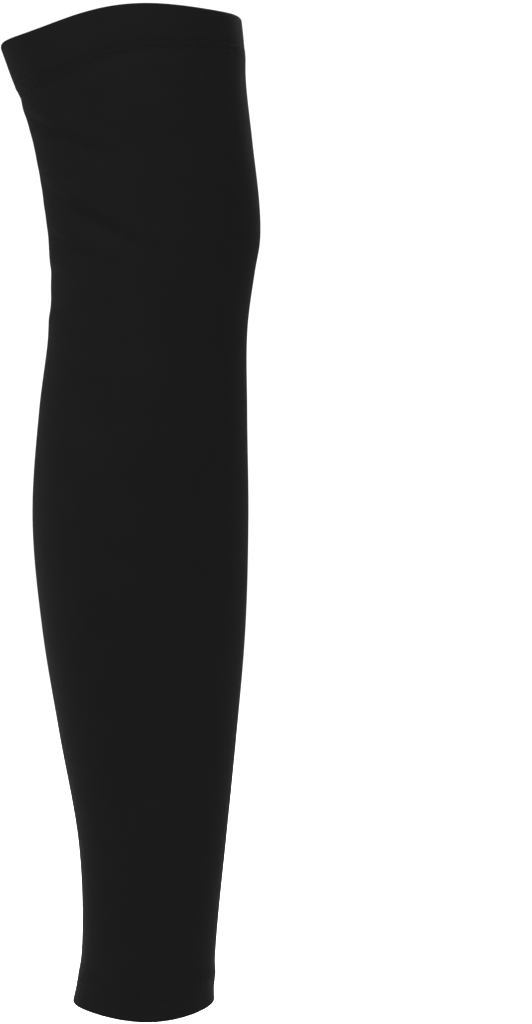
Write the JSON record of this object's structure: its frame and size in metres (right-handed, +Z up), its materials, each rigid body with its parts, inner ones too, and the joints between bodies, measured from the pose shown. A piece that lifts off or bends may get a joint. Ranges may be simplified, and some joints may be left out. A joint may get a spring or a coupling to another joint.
{
  "type": "cycling leg sleeve",
  "caption": "Black stretch-knit tube for the leg, worn from lower thigh to ankle, open at both ends, shaped by a slightly bent knee, with a turned and stitched hem at each end.",
  "frame": {"origin": "middle of the thigh opening, where the sleeve grips the leg", "axes": "+Z up the leg towards the thigh, +X forwards to the knee cap and shin, +Y across the leg"},
  "size_m": [0.1448, 0.1228, 0.55],
  "materials": {
    "tube_knit": "dull black stretch jersey, one ply, with a faint sheen at grazing angles",
    "hem_knit": "dull black stretch jersey, turned back to two plies and stitched"
  },
  "bodies": {
    "root": {"leg_tube": "tube_knit", "thigh_hem": "hem_knit", "ankle_hem": "hem_knit"}
  },
  "joints": []
}
